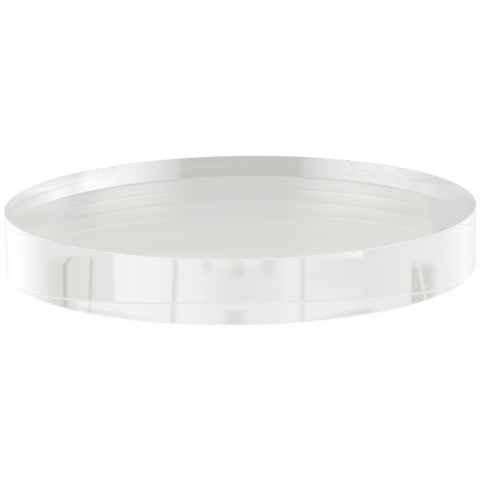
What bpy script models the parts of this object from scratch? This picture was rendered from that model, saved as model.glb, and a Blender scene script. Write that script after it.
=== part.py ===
"""Round display base: one disc of clear cast acrylic with polished faces and a polished rim.

Units are metres and +Z is up. The origin is the centre of the underside, so z = 0 is the
face that the disc rests on. The disc is one solid piece: it has no hub, bearing, feet or
fixings, and nothing on it moves.
"""

import math

import bpy

# Driving dimensions
DISC_DIAMETER = 0.1524  # six inches
DISC_THICKNESS = 0.020  # one thickness of cast sheet
EDGE_BREAK = 0.0003  # width of the polished arris round each rim

# Mesh fineness
RIM_SEGMENTS = 240  # keeps the facets within 7 micrometres of a true circle
ARRIS_SEGMENTS = 2
SHARP_ANGLE = math.radians(30)

# Clear acrylic
ACRYLIC_COLOUR = (0.965, 0.970, 0.962, 1.0)
ACRYLIC_IOR = 1.49
ACRYLIC_ROUGHNESS = 0.02


def clear_scene():
    for old in list(bpy.data.objects):
        bpy.data.objects.remove(old, do_unlink=True)


def clear_acrylic():
    material = bpy.data.materials.new("clear_acrylic")
    material.use_nodes = True
    shader = material.node_tree.nodes["Principled BSDF"]
    shader.inputs["Base Color"].default_value = ACRYLIC_COLOUR
    shader.inputs["Metallic"].default_value = 0.0
    shader.inputs["Roughness"].default_value = ACRYLIC_ROUGHNESS
    shader.inputs["IOR"].default_value = ACRYLIC_IOR
    shader.inputs["Transmission Weight"].default_value = 1.0
    return material


def display_disc():
    """The disc: a turned cylinder whose two rims are each broken by a narrow arris."""
    bpy.ops.mesh.primitive_cylinder_add(
        vertices=RIM_SEGMENTS,
        radius=DISC_DIAMETER / 2,
        depth=DISC_THICKNESS,
        end_fill_type="NGON",
        location=(0.0, 0.0, DISC_THICKNESS / 2),
    )
    disc = bpy.context.object
    disc.name = "display_disc"
    disc.data.name = "display_disc"

    arris = disc.modifiers.new("arris", "BEVEL")
    arris.width = EDGE_BREAK
    arris.segments = ARRIS_SEGMENTS
    arris.limit_method = "ANGLE"
    arris.angle_limit = SHARP_ANGLE

    disc.data.shade_smooth()
    disc.data.set_sharp_from_angle(angle=SHARP_ANGLE)
    disc.data.materials.append(clear_acrylic())
    return disc


clear_scene()
display_disc()
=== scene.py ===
"""Looks for the round clear acrylic display base: a turned disc, its clear acrylic and a plain studio.

Metres and degrees. +Z is up, and the camera looks along +Y from the front.
The studio's azimuths turn with the camera: 0 is straight behind the disc, positive azimuths lie at the
camera's right, and 180 is the camera's side. The disc works as a lens, so what stands at the camera's
right is seen in the left half of its front wall. Heights in the studio are degrees above the horizon.
A level is an amount of light, and the white backdrop has a level close to 1.
A ramp is (low, high) or (low, high, value at low, value at high), and steps smoothly between the two.
A band is (low, high, width of its soft edges).
"""

import math

import bmesh
import bpy
from mathutils import Matrix, Vector


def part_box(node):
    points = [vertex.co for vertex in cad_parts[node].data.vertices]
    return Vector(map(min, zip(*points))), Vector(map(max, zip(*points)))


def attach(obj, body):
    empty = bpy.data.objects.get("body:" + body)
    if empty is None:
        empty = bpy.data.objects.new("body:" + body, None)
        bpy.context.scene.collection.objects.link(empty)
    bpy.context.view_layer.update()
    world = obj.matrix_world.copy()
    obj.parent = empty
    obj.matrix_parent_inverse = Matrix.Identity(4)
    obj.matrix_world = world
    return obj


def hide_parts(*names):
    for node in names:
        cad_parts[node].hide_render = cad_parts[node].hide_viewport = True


# ---------------------------------------------------------------- the turned disc
UPPER_ARRIS = 0.0002  # radius of the scraped arris round each rim
LOWER_ARRIS = 0.00008
ARRIS_STEPS = 6
SUPPORT = 0.00006  # width of the narrow ring of faces that keeps a flat side flat up to its arris
TURN_STEPS = 720
WALL_ROWS = 96
FACE_RINGS = 5  # rings of faces between the middle and the rim of each flat side

# Buffing leaves faint rings round the wall: (wavelength, height, phase) of each.
WALL_RIPPLES = (
    (0.0071, 0.00000030, 0.4),
    (0.0032, 0.00000012, 1.9),
    (0.0017, 0.00000005, 3.1),
)
ROLL_OFF_DEPTH = 0.000003  # how far buffing rounds the wall in beside each arris
ROLL_OFF_REACH = 0.0006

# ---------------------------------------------------------------- clear acrylic
ACRYLIC_IOR = 1.49
ACRYLIC_TINT = (0.998, 0.998, 0.996)
HANDLED_TINT = 0.994  # what handling leaves of that tint, in patches
HANDLED_SCALE = 14.0
HANDLED_PATCHES = (0.45, 0.75)
ABSORPTION_COLOUR = (0.92, 0.92, 0.86, 1.0)
ABSORPTION_DENSITY = 0.35  # per metre

WAVES_SCALE = 32.0
WAVES_HEIGHT = 0.000003
SCRATCHES_SCALE = (900.0, 60.0, 900.0)
SCRATCHES_TURN = (0.0, 0.0, 0.6)
SCRATCHES_WHERE = (0.62, 0.80)
POLISHED_ROUGHNESS = 0.002
SCRATCHED_ROUGHNESS = 0.03  # added in the scratches

SCRAPED_SCALE = 260.0
SCRAPED_ROUGHNESS = (0.3, 0.7, 0.36, 0.44)
SCRAPED_SCATTERING = (0.3, 0.7, 0.93, 0.97)  # share of the arris that scatters light
SCRAPED_TINT = (0.99, 0.99, 0.98, 1.0)
SCATTERED_OUTSIDE = (0.90, 0.90, 0.89, 1.0)
SCATTERED_INSIDE = (0.91, 0.91, 0.90, 1.0)

# ---------------------------------------------------------------- camera
CAMERA_DISTANCE_RADII = 10.5
CAMERA_ELEVATION = 13.29
CAMERA_ROLL = -0.87
CAMERA_LENS = 184.8  # millimetres on a sensor 36 mm wide
CAMERA_SENSOR = 36.0
CAMERA_SHIFT = (-0.0012, -0.0151)
CAMERA_CLIP = (0.01, 100.0)
LIGHT_BOUNCES = 32

# ---------------------------------------------------------------- floor
WHITE = 1.02  # level that the camera sees on the floor and the backdrop
FLOOR_HALF_SIZE = 4.0
FLOOR_GAP = 0.0002  # air between the disc and the floor
FLOOR_PAINT = (0.90, 0.90, 0.90, 1.0)
FLOOR_GLOW = 0.88  # share of the floor's look that no shadow falls on
MIRRORED_FLOOR = 0.92  # level of the floor in reflections

# The floor under the disc, as seen through the acrylic, is painted shade: a glow of this colour, not a lit
# surface.
SHADE_COLOUR = (1.0, 0.987, 0.958, 1.0)
SHADE_REACH = 1.002  # radii out to which the floor seen through the disc lies in its shade
FROM_ABOVE = (0.25, 0.80)  # how steep the view is where the shade turns into the one from above
SHADE_FROM_ABOVE = (-0.014, -0.001, 0.89, 0.80)  # by distance from the rim
PAINTED_CONTACT_SHADOW_RING = (-0.0016, -0.0004)  # a thin ring of painted contact shadow just inside the rim, by distance from it
PAINTED_CONTACT_SHADOW_SHARE = 0.12

# Light from behind crosses the disc in bounces between its two flat sides. Each bounce shifts the shape of
# the rear rim forward by one step, so the shaded floor shows arcs, counted in steps in front of that rim.
THIRD_ARC_LEVEL = (2.9, 3.1, 0.52, 0.585)  # behind the third arc and in front of it, by steps
FRONT_LIFTS = ((0.006, -0.024, 0.0, 0.075), (-0.024, -0.060, 0.0, 0.02))  # painted light, brighter in front, by y
# Patches of painted light on the shaded floor: how much brighter, and the ramps that a patch is the product
# of.
PAINTED_LIGHT_PATCHES = (
    (
        0.22,  # both sides, from the first arc to the middle
        ("aside", 0.012, 0.036),
        ("x", 0.042, 0.052, 1.0, 0.55),
        ("x", -0.043, -0.052, 1.0, 0.2),
        ("steps", 0.95, 1.05),
        ("y", 0.026, -0.022, 1.0, 0.0),
    ),
    (0.05, ("x", 0.012, 0.032), ("steps", 0.95, 1.05)),
    (1.0, ("x", -0.054, -0.062), ("y", 0.0, 0.02, 0.07, 0.15)),
    (0.28, ("x", -0.034, -0.055), ("steps", 0.9, 1.0, 1.0, 0.0), ("x", -0.061, -0.069, 1.0, 0.2)),
)
RIGHT_END = (0.0595, 0.0625)  # x where the right end of the shaded floor starts, with its own level by y
RIGHT_END_LEVEL = (0.014, 0.026, 0.59, 0.67)
# Painted arcs of light and shade: (steps in front of the rear rim, half width, change of level).
ARCS = (
    (1.03, 0.0020, -0.17),
    (2.00, 0.0020, -0.10),
    (2.17, 0.0016, 0.15),
    (3.04, 0.0020, -0.13),
    (4.05, 0.0020, -0.06),
    (4.22, 0.0020, 0.07),
)
ARCS_START = (0.017, 0.024)  # distance from the middle line where the arcs start, and where they fade
ARCS_END = (0.050, 0.062, 1.0, 0.0)
STREAKS_SCALE = (420.0, 16.0)  # across the arcs and along them
STREAKS_CONTRAST = 0.16

# ---------------------------------------------------------------- studio
LEVEL_SCALE = 4.0  # a colour ramp holds levels from 0 to 1, so levels are divided by this
# The level of light round the studio, near the height of the table: (azimuth, level).
# A big softbox stands on each side, and the dark gap between them across 180 is where the camera stands.
ROUND_STUDIO_SPAN = 180.0
ROUND_STUDIO = (
    (-180.0, 0.26),
    (-150.0, 0.30),
    (-145.0, 0.90),
    (-131.0, 1.60),
    (-115.0, 1.90),
    (-95.0, 1.95),
    (-60.0, 1.02),
    (-43.0, 0.88),
    (-20.0, 0.79),
    (20.0, 0.79),
    (41.0, 0.83),
    (52.0, 1.00),
    (74.0, 1.36),
    (88.0, 1.15),
    (95.0, 2.00),
    (122.0, 2.15),
    (133.0, 1.65),
    (148.0, 0.80),
    (151.0, 0.30),
    (180.0, 0.26),
)
# The softbox at the camera's left has a dimmer patch: its azimuths, heights and level.
DIMMER_AZIMUTHS = (-94.0, -62.0, 4.0)
DIMMER_HEIGHTS = (12.85, 16.0, 0.2)
DIMMER_LEVEL = 1.07

# The panels behind the disc: (azimuth, level).
PANELS_SPAN = 50.0
PANELS = (
    (-50.0, 0.92),
    (-20.0, 0.79),
    (-10.0, 0.83),
    (-7.0, 0.88),
    (-5.0, 0.82),
    (1.5, 0.79),
    (6.5, 0.88),
    (17.0, 0.93),
    (20.4, 0.92),
    (21.2, 0.80),
    (37.5, 0.73),
    (45.0, 0.90),
    (50.0, 0.97),
)
PANELS_WHERE = (-PANELS_SPAN, PANELS_SPAN, 3.0)
PANELS_START = (-24.0, -30.0, 13.76, 13.97)  # height of the panels' lower edges, by azimuth
PANELS_EDGE = (-0.05, 0.06)
# Brighter patches on the panels: (how much brighter, azimuths, ramp by height).
PANEL_PATCHES = (
    (0.035, (-19.7, -9.4, 0.4), (14.45, 14.72)),
    (0.18, (-19.7, -7.8, 0.4), (13.76, 13.98, 1.0, 0.0)),
    (0.065, (-2.6, 5.2, 0.8), (13.93, 14.22, 1.0, 0.0)),
)
# Narrow dark seams between the panels: (azimuth, lean, bend at the lower end, half width, share of light
# taken). A lean is in degrees of azimuth for each degree of height.
SEAMS = (
    (34.0, 0.6, -1.9, 1.4, 0.25),
    (26.4, 0.9, -0.1, 0.75, 0.18),
    (9.9, 0.5, 0.0, 0.8, 0.17),
    (-9.05, 0.0, 0.0, 0.6, 0.115),
)
SEAMS_HEIGHT = 14.45  # where a leaning seam stands at its azimuth
SEAMS_LOWER_END = (13.74, 13.95, 1.0, 0.0)
SEAMS_FADE = 0.5  # share of its darkness that a seam loses at its lower end
MIRRORED_SEAMS = 0.85  # share of a seam's darkness that the table mirrors
# Soft dark marks behind the disc: (ramps on both sides of the darkest azimuth, ramp by height, share taken).
MARKS = (
    ((6.1, 4.95), (3.4, 4.95), (14.08, 14.30, 1.0, 0.0), 0.135),
    ((2.2, 0.05), (-0.8, 0.05), (14.20, 14.46, 1.0, 0.0), 0.10),
    ((-2.0, -4.2), (-5.2, -4.2), (14.22, 14.38, 1.0, 0.0), 0.08),
)
# Two dark stands, with a slanting bright line between them.
STANDS = ((-32.1, -31.6, 1.0, 0.0), (-43.4, -37.8))  # ramps by azimuth: a sharp edge and a soft one
STANDS_FOOT = (13.95, 14.25, 0.3, 1.0)
STANDS_SHARE = 0.215
LINE_AZIMUTH = -34.25
LINE_HEIGHT = 14.1
LINE_SLANT = -3.7
LINE_WIDTH = (0.2, 1.2, 0.25, 1.0)

# Below the horizon a glossy table mirrors the panels, only half where it is softened.
TABLE_SOFTENED = (-29.0, 31.0, 6.0)
TABLE_SHARE = 0.5  # share of the table's own level where it is softened
TABLE_LEVEL = 0.905
TABLE_BRIGHT = (20.7, 30.0, 1.2)  # a stretch of one even level
TABLE_BRIGHT_LEVEL = 0.915
# A painted shadow of the disc darkens the table beside it, from a line that comes nearer to the horizon on
# both sides of azimuth 0.
TABLE_SHADE_FROM = 15.44
TABLE_SHADE_SLOPE = -0.019
TABLE_SHADE_STEP = (-9.0, -11.0, 0.0, -0.020)  # and that has a small step in it
TABLE_SHADE_START = (0.0, 0.09)
TABLE_SHADE_END = (0.5, 2.0, 1.0, 0.0)
TABLE_SHADE_LEFT = (-21.5, -9.5, 4.0)
TABLE_SHADE_LEFT_STRENGTH = 1.5
TABLE_SHADE_RIGHT = (12.5, 30.0, 4.0)
# A narrow dark stretch in the middle of the table.
TABLE_MIDDLE_AZIMUTH = 1.0
TABLE_MIDDLE_WIDTH = (0.4, 2.4, 1.0, 0.0)
TABLE_MIDDLE_DEPTHS = (15.1, 16.5, 0.1)
TABLE_SHADE_SHARE = 0.13

# The ceiling is a little darker than the walls, with a bright panel overhead: (ramp by height, level).
CEILING = (
    ((28.0, 44.0), 0.85),
    ((66.0, 80.0), 1.70),
)

# Darker parts of the studio are warmer: the share of blue lost for each unit of darkness, and of its cube.
WARMTH = 0.07
DARK_WARMTH = 0.5
GREEN_WARMTH = 0.35  # what green loses of what blue loses
COOL_SOFTBOX = (46.0, 90.0, 5.0)  # azimuths of the softbox at the camera's right, which is slightly cooler
COOL_WARMTH = -0.014


# ================================================================ node helpers
class Tree:
    """Adds nodes to a material's or world's tree, and links them as it goes."""

    def __init__(self, node_tree):
        self.nt = node_tree
        self.nt.nodes.clear()

    def node(self, kind, inputs=(), **settings):
        made = self.nt.nodes.new(kind)
        for key, value in settings.items():
            setattr(made, key, value)
        for key, value in dict(inputs).items():
            self.feed(made.inputs[key], value)
        return made

    def feed(self, socket, value):
        if isinstance(value, bpy.types.NodeSocket):
            self.nt.links.new(value, socket)
        else:
            socket.default_value = value

    def maths(self, operation, a, b=0.0, c=0.0):
        return self.node("ShaderNodeMath", {0: a, 1: b, 2: c}, operation=operation).outputs[0]

    def product(self, first, *others):
        for other in others:
            first = self.maths("MULTIPLY", first, other)
        return first

    def split(self, vector):
        """The x, y and z of a vector."""
        return self.node("ShaderNodeSeparateXYZ", {0: vector}).outputs

    def noise(self, place, scale, detail):
        inputs = {"Vector": place, "Scale": scale, "Detail": detail}
        return self.node("ShaderNodeTexNoise", inputs).outputs["Fac"]

    def ramp(self, value, low, high, to_low=0.0, to_high=1.0):
        """to_low up to low, to_high from high on, and a smooth step between them. low may be the larger."""
        inputs = {
            "Value": value,
            "From Min": low,
            "From Max": high,
            "To Min": to_low,
            "To Max": to_high,
        }
        made = self.node("ShaderNodeMapRange", inputs, interpolation_type="SMOOTHSTEP")
        return made.outputs["Result"]

    def band(self, value, low, high, soft):
        """1 between low and high and 0 outside, with soft edges of that width centred on them."""
        rise = self.ramp(value, low - soft / 2, low + soft / 2)
        fall = self.ramp(value, high - soft / 2, high + soft / 2, 1.0, 0.0)
        return self.product(rise, fall)

    def distance(self, value, place):
        return self.maths("ABSOLUTE", self.maths("SUBTRACT", value, place))

    def mixed(self, share, a, b):
        """a where share is 0 and b where it is 1, for single numbers."""
        made = self.node("ShaderNodeMix", {0: share, 2: a, 3: b}, data_type="FLOAT", clamp_factor=True)
        return made.outputs[0]

    def mixed_colour(self, share, a, b):
        """The same for colours."""
        made = self.node("ShaderNodeMix", {0: share, 6: a, 7: b}, data_type="RGBA", clamp_factor=True)
        return made.outputs[2]

    def mixed_shader(self, share, a, b):
        """The same for shaders."""
        made = self.node("ShaderNodeMixShader", {0: share, 1: a.outputs[0], 2: b.outputs[0]})
        return made

    def added(self, level, mask, amount):
        """level, plus an amount where mask is 1."""
        return self.maths("MULTIPLY_ADD", mask, amount, level)

    def dimmed(self, level, mask, share):
        """level, less a share of it where mask is 1."""
        return self.product(level, self.maths("MULTIPLY_ADD", mask, -share, 1.0))


def new_material(name):
    """A node-based material, and the tree that its nodes go in."""
    material = bpy.data.materials.new(name)
    material.use_nodes = True
    return material, Tree(material.node_tree)


def facing_camera(t, x, y):
    """x and y turned to run across and along the camera's view, so that the studio turns with the camera."""
    ahead = t.node(
        "ShaderNodeVectorTransform",
        {"Vector": (0.0, 0.0, 1.0)},
        vector_type="VECTOR",
        convert_from="CAMERA",
        convert_to="WORLD",
    )
    level = t.node("ShaderNodeVectorMath", {0: ahead.outputs[0], 1: (1.0, 1.0, 0.0)}, operation="MULTIPLY")
    level = t.node("ShaderNodeVectorMath", {0: level.outputs[0]}, operation="NORMALIZE")
    ahead_x, ahead_y, _ = t.split(level.outputs[0])
    across = t.maths("SUBTRACT", t.product(x, ahead_y), t.product(y, ahead_x))
    along = t.maths("ADD", t.product(x, ahead_x), t.product(y, ahead_y))
    return across, along


# ================================================================ geometry
def wall_offset(height, thickness):
    """How far the wall stands in from the true cylinder at a height."""
    ripple = sum(h * math.sin(2 * math.pi * height / w + p) for w, h, p in WALL_RIPPLES)
    tallest = sum(h for _, h, _ in WALL_RIPPLES)
    from_edge = min(height, thickness - height)
    roll_off = ROLL_OFF_DEPTH * math.exp(-from_edge / ROLL_OFF_REACH)
    return tallest - ripple + roll_off


def flat_side(radius, arris, height):
    """(radius, height) from the middle of a flat side to just before its arris."""
    flat = radius - arris
    rings = [(flat * i / FACE_RINGS, height) for i in range(FACE_RINGS)]
    return rings + [(flat - SUPPORT, height)]


def arris_curve(radius, arris, centre_height, first_angle):
    """(radius, height) round an arris, a quarter turn from first_angle."""
    curve = []
    for i in range(ARRIS_STEPS + 1):
        angle = math.radians(first_angle + 90.0 * i / ARRIS_STEPS)
        curve.append((radius - arris + arris * math.cos(angle), centre_height + arris * math.sin(angle)))
    return curve


def disc_profile(radius, low, high):
    """(radius, height) from the middle of the underside, round the rim, to the middle of the top."""
    thickness = high - low
    straight = thickness - LOWER_ARRIS - UPPER_ARRIS
    wall = [(radius, LOWER_ARRIS + straight * i / WALL_ROWS) for i in range(1, WALL_ROWS)]
    under = flat_side(radius, LOWER_ARRIS, 0.0) + arris_curve(radius, LOWER_ARRIS, LOWER_ARRIS, -90.0)
    top = arris_curve(radius, UPPER_ARRIS, thickness - UPPER_ARRIS, 0.0)
    top += reversed(flat_side(radius, UPPER_ARRIS, thickness))
    # The wall's shaping fades out over each arris, so that the flat sides stay flat.
    shaped = []
    for r, h in under + wall + top:
        arris = LOWER_ARRIS if h < thickness / 2 else UPPER_ARRIS
        share = max(0.0, 1.0 - (radius - r) / arris)
        shaped.append((r - share * wall_offset(h, thickness), low + h))
    return shaped


def arris_rows(profile):
    """The profile points that start a segment of an arris."""
    lower = FACE_RINGS + 1
    upper = len(profile) - 1 - lower - ARRIS_STEPS
    return {start + i for start in (lower, upper) for i in range(ARRIS_STEPS)}


def turned(name, profile, satin_rows):
    """Turns a profile, whose first and last points lie on the axis, once round Z.

    satin_rows are the profile points that start a segment of the second material.
    """
    mesh = bmesh.new()
    bottom = mesh.verts.new((0.0, 0.0, profile[0][1]))
    top = mesh.verts.new((0.0, 0.0, profile[-1][1]))
    columns = []
    for step in range(TURN_STEPS):
        angle = 2 * math.pi * step / TURN_STEPS
        c, s = math.cos(angle), math.sin(angle)
        columns.append([mesh.verts.new((r * c, r * s, h)) for r, h in profile[1:-1]])
    for step in range(TURN_STEPS):
        here, there = columns[step], columns[(step + 1) % TURN_STEPS]
        mesh.faces.new((bottom, there[0], here[0]))
        for i in range(len(here) - 1):
            face = mesh.faces.new((here[i], there[i], there[i + 1], here[i + 1]))
            if i + 1 in satin_rows:
                face.material_index = 1
        mesh.faces.new((top, here[-1], there[-1]))
    data = bpy.data.meshes.new(name)
    mesh.to_mesh(data)
    mesh.free()
    data.shade_smooth()
    piece = bpy.data.objects.new(name, data)
    bpy.context.scene.collection.objects.link(piece)
    return piece


# ================================================================ materials
def absorption(t):
    """The slight warm tint that the acrylic gives to light on its way through."""
    return t.node("ShaderNodeVolumeAbsorption", {"Color": ABSORPTION_COLOUR, "Density": ABSORPTION_DENSITY})


def finish_acrylic(t, surface):
    """Ends a material with its surface and with the tint inside it."""
    outputs = {"Surface": surface.outputs[0], "Volume": absorption(t).outputs[0]}
    t.node("ShaderNodeOutputMaterial", outputs)


def satin_arris():
    """The same acrylic where the sharp corner was scraped off by hand, which leaves it satin."""
    material, t = new_material("clear_acrylic_satin")
    place = t.node("ShaderNodeTexCoord").outputs["Object"]
    scraped = t.noise(place, SCRAPED_SCALE, detail=3.0)
    clear = t.node(
        "ShaderNodeBsdfPrincipled",
        {
            "Base Color": SCRAPED_TINT,
            "Roughness": t.ramp(scraped, *SCRAPED_ROUGHNESS),
            "IOR": ACRYLIC_IOR,
            "Transmission Weight": 1.0,
        },
    )
    outside = t.node("ShaderNodeBsdfDiffuse", {"Color": SCATTERED_OUTSIDE})
    inside = t.node("ShaderNodeBsdfTranslucent", {"Color": SCATTERED_INSIDE})
    from_inside = t.node("ShaderNodeNewGeometry").outputs["Backfacing"]
    scattering = t.mixed_shader(from_inside, outside, inside)
    finish_acrylic(t, t.mixed_shader(t.ramp(scraped, *SCRAPED_SCATTERING), clear, scattering))
    return material


def polished_roughness(t, place):
    """Almost none, apart from faint wiping scratches."""
    inputs = {"Vector": place, "Rotation": SCRATCHES_TURN, "Scale": SCRATCHES_SCALE}
    along = t.node("ShaderNodeMapping", inputs)
    scratched = t.ramp(t.noise(along.outputs[0], 1.0, detail=3.0), *SCRATCHES_WHERE)
    return t.maths("MULTIPLY_ADD", scratched, SCRATCHED_ROUGHNESS, POLISHED_ROUGHNESS)


def clear_acrylic():
    """Polished cast acrylic: hardly tinted, with faint wiping scratches and a slight waviness."""
    material, t = new_material("clear_acrylic_polished")
    place = t.node("ShaderNodeTexCoord").outputs["Object"]
    waviness = t.noise(place, WAVES_SCALE, detail=1.0)
    waves = t.node("ShaderNodeBump", {"Height": waviness, "Strength": 1.0, "Distance": WAVES_HEIGHT})
    handled = t.ramp(t.noise(place, HANDLED_SCALE, detail=4.0), *HANDLED_PATCHES)
    handled_tint = tuple(HANDLED_TINT * x for x in ACRYLIC_TINT)
    surface = t.node(
        "ShaderNodeBsdfPrincipled",
        {
            "Base Color": t.mixed_colour(handled, (*ACRYLIC_TINT, 1.0), (*handled_tint, 1.0)),
            "Roughness": polished_roughness(t, place),
            "IOR": ACRYLIC_IOR,
            "Transmission Weight": 1.0,
            "Normal": waves.outputs["Normal"],
        },
    )
    finish_acrylic(t, surface)
    return material


# ================================================================ floor
def floor_streaks(t, back, x):
    """Fine streaks of painted light and shade along the arcs, from -0.5 to 0.5."""
    across, along = STREAKS_SCALE
    place = t.node("ShaderNodeCombineXYZ", {0: t.product(back, across), 1: t.product(x, along)})
    return t.maths("SUBTRACT", t.noise(place.outputs[0], 1.0, detail=2.0), 0.5)


def bounce_step(thickness):
    """How far light at the acrylic's critical angle moves sideways between the two flat sides."""
    return thickness / math.sqrt(ACRYLIC_IOR**2 - 1.0)


def light_under_disc(t, x, y, radius, step_length):
    """How bright the floor's painted shade and light under the disc look through the acrylic, from a low
    camera.
    """
    squared = t.maths("SUBTRACT", radius * radius, t.product(x, x))
    rear_rim = t.maths("SQRT", t.maths("MAXIMUM", squared, 0.0))
    back = t.maths("SUBTRACT", rear_rim, y)
    places = {
        "x": x,
        "y": y,
        "aside": t.maths("ABSOLUTE", x),
        "steps": t.maths("DIVIDE", back, step_length),
    }

    level = t.ramp(places["steps"], *THIRD_ARC_LEVEL)
    for lift in FRONT_LIFTS:
        level = t.maths("ADD", level, t.ramp(y, *lift))
    # Patches of painted light.
    for amount, *ramps in PAINTED_LIGHT_PATCHES:
        patch = t.product(*(t.ramp(places[name], *numbers) for name, *numbers in ramps))
        level = t.added(level, patch, amount)
    level = t.mixed(t.ramp(x, *RIGHT_END), level, t.ramp(y, *RIGHT_END_LEVEL))

    arcs = t.product(t.ramp(places["aside"], *ARCS_START), t.ramp(places["aside"], *ARCS_END))
    # Arcs of painted light and shade.
    for step, half_width, change in ARCS:
        arc = t.ramp(t.distance(back, step * step_length), 0.0, half_width, 1.0, 0.0)
        level = t.added(level, t.product(arc, arcs), change)
    return t.added(level, floor_streaks(t, back, x), STREAKS_CONTRAST)


def open_floor(t, path):
    """The pale card itself, which mostly glows, so that the white background stays even."""
    matte = t.node("ShaderNodeBsdfDiffuse", {"Color": FLOOR_PAINT})
    strength = t.mixed(path.outputs["Is Glossy Ray"], WHITE, MIRRORED_FLOOR)
    lit = t.node("ShaderNodeEmission", {"Color": (1.0, 1.0, 1.0, 1.0), "Strength": strength})
    return t.mixed_shader(FLOOR_GLOW, matte, lit)


def shaded_floor(t, x, y, from_axis, radius, thickness):
    """The card in the disc's shade, as the acrylic shows it: painted shade, an emission rather than a lit
    surface.
    """
    across, along = facing_camera(t, x, y)
    from_rim = t.maths("SUBTRACT", from_axis, radius)
    low_light = light_under_disc(t, across, along, radius, bounce_step(thickness))
    # A thin ring of painted contact shadow just inside the rim.
    low_light = t.dimmed(low_light, t.ramp(from_rim, *PAINTED_CONTACT_SHADOW_RING), PAINTED_CONTACT_SHADOW_SHARE)
    steepness = t.split(t.node("ShaderNodeNewGeometry").outputs["Incoming"])[2]
    high_light = t.ramp(from_rim, *SHADE_FROM_ABOVE)
    shade = t.mixed(t.ramp(steepness, *FROM_ABOVE), low_light, high_light)
    return t.node("ShaderNodeEmission", {"Color": SHADE_COLOUR, "Strength": shade})


def floor_card(radius, thickness):
    """A pale matte card. Through the acrylic, the part under the disc shows the disc's shade, painted in as a
    grey glow.
    """
    material, t = new_material("studio_floor")
    path = t.node("ShaderNodeLightPath")
    x, y, _ = t.split(t.node("ShaderNodeTexCoord").outputs["Object"])
    from_axis = t.maths("SQRT", t.maths("ADD", t.product(x, x), t.product(y, y)))

    beyond = t.maths("GREATER_THAN", from_axis, radius * SHADE_REACH)
    shaded = shaded_floor(t, x, y, from_axis, radius, thickness)
    through_acrylic = t.mixed_shader(beyond, shaded, t.node("ShaderNodeBsdfTransparent"))
    card = t.mixed_shader(path.outputs["Is Transmission Ray"], open_floor(t, path), through_acrylic)
    t.node("ShaderNodeOutputMaterial", {"Surface": card.outputs[0]})
    return material


def studio_floor(low, radius, thickness):
    mesh = bmesh.new()
    bmesh.ops.create_grid(mesh, x_segments=1, y_segments=1, size=FLOOR_HALF_SIZE)
    data = bpy.data.meshes.new("studio_floor")
    mesh.to_mesh(data)
    mesh.free()
    floor = bpy.data.objects.new("studio_floor", data)
    floor.location = (0.0, 0.0, low - FLOOR_GAP)
    bpy.context.scene.collection.objects.link(floor)
    data.materials.append(floor_card(radius, thickness))


# ================================================================ studio
def level_ramp(t, azimuth, stops, span):
    """The level of light at an azimuth, from (azimuth, level) stops between -span and span."""
    ramp = t.node("ShaderNodeValToRGB", {0: t.maths("MULTIPLY_ADD", azimuth, 0.5 / span, 0.5)})
    elements = ramp.color_ramp.elements
    for i, (angle, level) in enumerate(stops):
        where = 0.5 + 0.5 * angle / span
        if i < 2:
            element = elements[i]
            element.position = where
        else:
            element = elements.new(where)
        grey = level / LEVEL_SCALE
        element.color = (grey, grey, grey, 1.0)
    return t.product(ramp.outputs[0], LEVEL_SCALE)


def softboxes(t, azimuth, height):
    """The level all round the studio, which the panels stand in front of."""
    level = level_ramp(t, azimuth, ROUND_STUDIO, ROUND_STUDIO_SPAN)
    dimmer = t.product(t.band(azimuth, *DIMMER_AZIMUTHS), t.band(height, *DIMMER_HEIGHTS))
    return t.mixed(dimmer, level, DIMMER_LEVEL)


def stands(t, azimuth, height):
    """Where the two dark stands are, apart from the bright line between them."""
    line = t.maths("MULTIPLY_ADD", t.maths("SUBTRACT", height, LINE_HEIGHT), LINE_SLANT, LINE_AZIMUTH)
    beside_line = t.ramp(t.distance(azimuth, line), *LINE_WIDTH)
    edges = [t.ramp(azimuth, *edge) for edge in STANDS]
    return t.product(*edges, t.ramp(height, *STANDS_FOOT), beside_line)


def panels_behind(t, azimuth, height):
    """The level of the panels, with their patches, the stands and the marks."""
    level = level_ramp(t, azimuth, PANELS, PANELS_SPAN)
    for amount, azimuths, heights in PANEL_PATCHES:
        patch = t.product(t.band(azimuth, *azimuths), t.ramp(height, *heights))
        level = t.added(level, patch, amount)
    level = t.dimmed(level, stands(t, azimuth, height), STANDS_SHARE)
    for one_side, other_side, heights, share in MARKS:
        mark = t.maths("MINIMUM", t.ramp(azimuth, *one_side), t.ramp(azimuth, *other_side))
        level = t.dimmed(level, t.product(mark, t.ramp(height, *heights)), share)
    return level


def table_shade(t, azimuth, depth):
    """Where the disc's painted shadow darkens the table on both sides of the disc."""
    start = t.maths("MULTIPLY_ADD", t.maths("ABSOLUTE", azimuth), TABLE_SHADE_SLOPE, TABLE_SHADE_FROM)
    start = t.maths("ADD", start, t.ramp(azimuth, *TABLE_SHADE_STEP))
    past = t.maths("SUBTRACT", depth, start)
    shade = t.product(t.ramp(past, *TABLE_SHADE_START), t.ramp(past, *TABLE_SHADE_END))
    right = t.band(azimuth, *TABLE_SHADE_RIGHT)
    beside = t.added(right, t.band(azimuth, *TABLE_SHADE_LEFT), TABLE_SHADE_LEFT_STRENGTH)
    return t.product(shade, beside)


def table_mirror(t, panels, azimuth, depth):
    """What a low glossy table shows of the panels. depth is in degrees below the horizon."""
    softened = t.product(t.band(azimuth, *TABLE_SOFTENED), TABLE_SHARE)
    level = t.mixed(softened, panels, TABLE_LEVEL)
    level = t.mixed(t.band(azimuth, *TABLE_BRIGHT), level, TABLE_BRIGHT_LEVEL)
    level = t.dimmed(level, table_shade(t, azimuth, depth), TABLE_SHADE_SHARE)
    middle = t.ramp(t.distance(azimuth, TABLE_MIDDLE_AZIMUTH), *TABLE_MIDDLE_WIDTH)
    middle = t.product(middle, t.band(depth, *TABLE_MIDDLE_DEPTHS))
    return t.dimmed(level, middle, TABLE_SHADE_SHARE)


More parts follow.
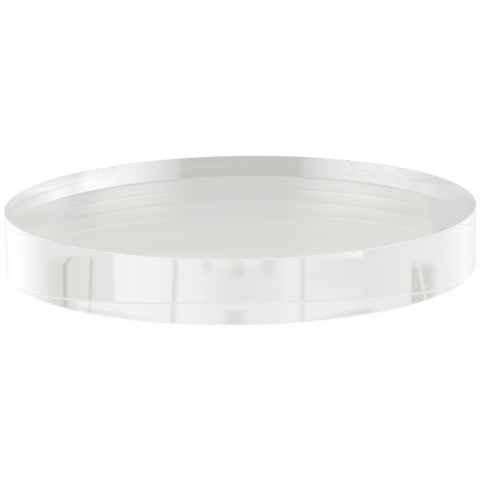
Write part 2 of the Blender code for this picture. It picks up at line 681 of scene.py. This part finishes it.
def seamed(t, level, azimuth, height, strength):
    """level, less what the seams between the panels take."""
    lower_end = t.ramp(height, *SEAMS_LOWER_END)
    strength = t.dimmed(strength, lower_end, SEAMS_FADE)
    above = t.maths("SUBTRACT", height, SEAMS_HEIGHT)
    for angle, lean, bend, half_width, share in SEAMS:
        where = t.maths("MULTIPLY_ADD", above, lean, angle)
        where = t.added(where, lower_end, bend)
        seam = t.ramp(t.distance(azimuth, where), 0.0, half_width, 1.0, 0.0)
        level = t.dimmed(level, t.product(seam, strength), share)
    return level


def warmed(t, level, azimuth):
    """The colour of a level of light: the darker it is, the warmer."""
    darkness = t.maths("MAXIMUM", t.maths("SUBTRACT", 1.0, level), 0.0)
    warmth = t.product(t.maths("POWER", darkness, 3.0), DARK_WARMTH)
    warmth = t.added(warmth, darkness, WARMTH)
    warmth = t.mixed(t.band(azimuth, *COOL_SOFTBOX), warmth, COOL_WARMTH)
    green = t.dimmed(level, warmth, GREEN_WARMTH)
    blue = t.dimmed(level, warmth, 1.0)
    return t.node("ShaderNodeCombineColor", {0: level, 1: green, 2: blue}).outputs[0]


def studio_world():
    """A soft studio: pale panels behind, a big softbox on each side, a darker gap where the camera stands."""
    world = bpy.data.worlds.new("studio")
    bpy.context.scene.world = world
    world.use_nodes = True
    t = Tree(world.node_tree)
    x, y, z = t.split(t.node("ShaderNodeTexCoord").outputs["Generated"])
    azimuth = t.maths("DEGREES", t.maths("ARCTAN2", *facing_camera(t, x, y)))
    # The table is glossy, so what lies below the horizon repeats what lies above.
    height = t.maths("DEGREES", t.maths("ARCSINE", t.maths("ABSOLUTE", z)))
    below = t.maths("LESS_THAN", z, 0.0)

    panels = panels_behind(t, azimuth, height)
    panels = t.mixed(below, panels, table_mirror(t, panels, azimuth, height))
    from_start = t.maths("SUBTRACT", height, t.ramp(azimuth, *PANELS_START))
    above_start = t.ramp(from_start, *PANELS_EDGE)
    in_panels = t.product(above_start, t.band(azimuth, *PANELS_WHERE))
    level = t.mixed(in_panels, softboxes(t, azimuth, height), panels)
    level = seamed(t, level, azimuth, height, t.product(t.mixed(below, 1.0, MIRRORED_SEAMS), above_start))

    for heights, ceiling_level in CEILING:
        level = t.mixed(t.ramp(height, *heights), level, ceiling_level)
    level = t.mixed(t.node("ShaderNodeLightPath").outputs["Is Camera Ray"], level, WHITE)
    background = t.node("ShaderNodeBackground", {"Color": warmed(t, level, azimuth), "Strength": 1.0})
    t.node("ShaderNodeOutputWorld", {"Surface": background.outputs[0]})


def studio_camera(middle, radius):
    """Looks along +Y and down at the middle of the disc, from the photograph's place."""
    elevation, roll = math.radians(CAMERA_ELEVATION), math.radians(CAMERA_ROLL)
    ahead = Vector((0.0, math.cos(elevation), -math.sin(elevation)))
    level_right = Vector((1.0, 0.0, 0.0))
    level_up = level_right.cross(ahead)
    right = math.cos(roll) * level_right + math.sin(roll) * level_up
    up = math.cos(roll) * level_up - math.sin(roll) * level_right
    lens = bpy.data.cameras.new("studio_camera")
    lens.sensor_width = CAMERA_SENSOR
    lens.lens = CAMERA_LENS
    lens.shift_x, lens.shift_y = CAMERA_SHIFT
    lens.clip_start, lens.clip_end = CAMERA_CLIP
    camera = bpy.data.objects.new("studio_camera", lens)
    bpy.context.scene.collection.objects.link(camera)
    place = Matrix((right, up, -ahead)).transposed().to_4x4()
    place.translation = middle - ahead * CAMERA_DISTANCE_RADII * radius
    camera.matrix_world = place
    bpy.context.scene.camera = camera


def light_bounces():
    """Clear acrylic passes light back and forth between its faces many times before letting it out."""
    scene = bpy.context.scene
    scene.cycles.max_bounces = LIGHT_BOUNCES
    scene.cycles.transmission_bounces = LIGHT_BOUNCES
    scene.cycles.glossy_bounces = LIGHT_BOUNCES
    scene.view_settings.view_transform = "Standard"


# ================================================================ the scene
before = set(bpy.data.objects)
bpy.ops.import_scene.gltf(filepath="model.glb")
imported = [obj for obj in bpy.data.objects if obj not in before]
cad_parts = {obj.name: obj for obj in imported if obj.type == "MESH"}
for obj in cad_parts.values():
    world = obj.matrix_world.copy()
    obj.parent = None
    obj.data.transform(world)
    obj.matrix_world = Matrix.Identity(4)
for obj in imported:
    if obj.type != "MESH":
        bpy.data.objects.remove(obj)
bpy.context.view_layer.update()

low_corner, high_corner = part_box("display_disc")
disc_radius = (high_corner.x - low_corner.x) / 2
disc_thickness = high_corner.z - low_corner.z
profile = disc_profile(disc_radius, low_corner.z, high_corner.z)
disc = turned("display_disc_turned", profile, arris_rows(profile))
disc.data.materials.append(clear_acrylic())
disc.data.materials.append(satin_arris())
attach(disc, "root")
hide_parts("display_disc")

studio_world()
studio_floor(low_corner.z, disc_radius, disc_thickness)
studio_camera((low_corner + high_corner) / 2, disc_radius)
light_bounces()
